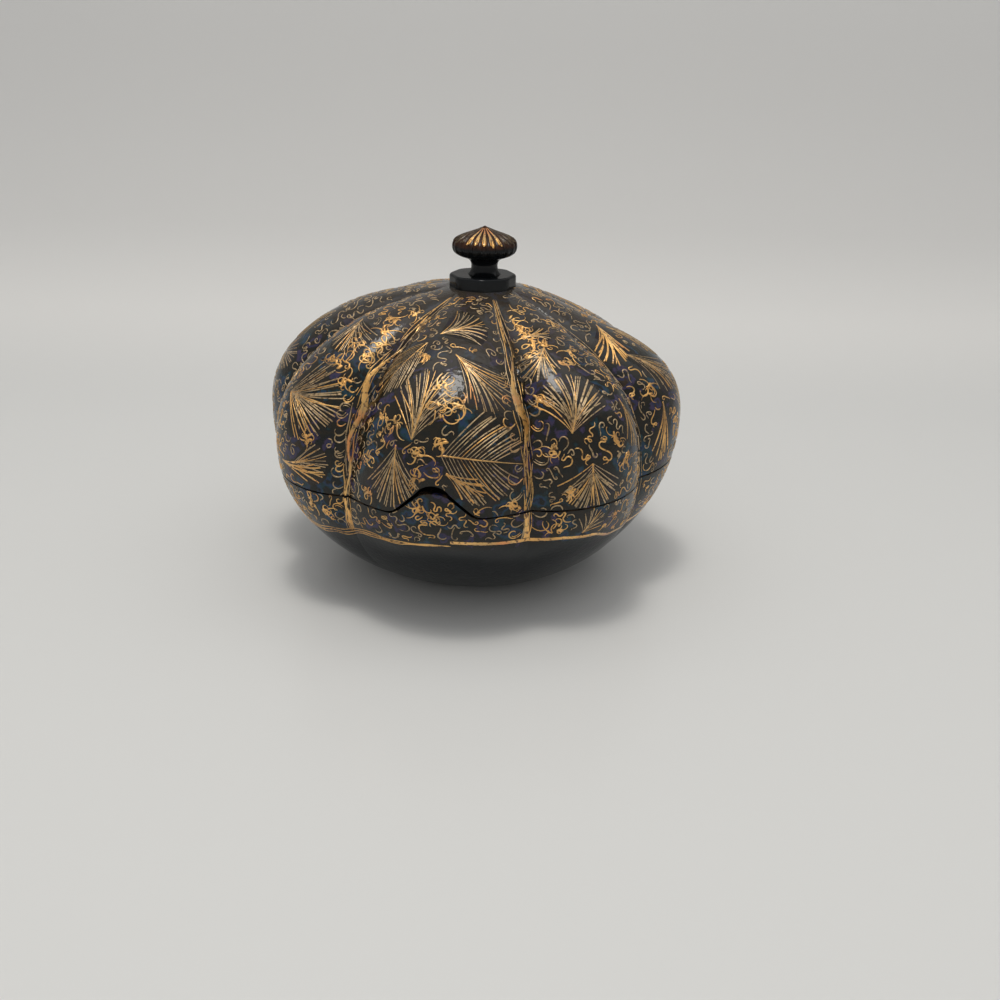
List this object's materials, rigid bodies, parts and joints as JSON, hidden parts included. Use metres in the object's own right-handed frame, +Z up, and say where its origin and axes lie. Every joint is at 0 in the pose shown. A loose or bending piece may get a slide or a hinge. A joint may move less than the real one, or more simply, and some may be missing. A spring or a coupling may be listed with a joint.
{
  "type": "lidded powder box",
  "caption": "Small lobed, melon-shaped lacquer powder box with a keyed lift-off domed lid, a fluted turned knob on a collar, and a flat foot.",
  "frame": {"origin": "centre of the foot disc's flat underside, on the box's upright axis", "axes": "+Z up and the way the lid lifts off; the side with the seam key faces -Y; +X is to the right of it"},
  "size_m": [0.1117, 0.1092, 0.0906],
  "materials": {
    "painted_lacquer": "glossy dark lacquer over papier-mache",
    "plain_lacquer": "plain black lacquer over papier-mache",
    "turned_lacquer": "black lacquer over turned wood",
    "bare_wood": "bare turned wood",
    "gold_paint": "brushed gold paint strokes"
  },
  "bodies": {
    "base": {"bowl_shell": "painted_lacquer", "locating_rim": "plain_lacquer", "foot_disc": "turned_lacquer"},
    "lid": {"lid_shell": "painted_lacquer", "knob_collar": "turned_lacquer", "knob": "turned_lacquer", "knob_peg": "bare_wood"}
  },
  "joints": [
    {"name": "lid_lift", "type": "slide", "parent": "base", "child": "lid", "axis": [0, 0, 1], "range_m": [0, 0.06]}
  ]
}
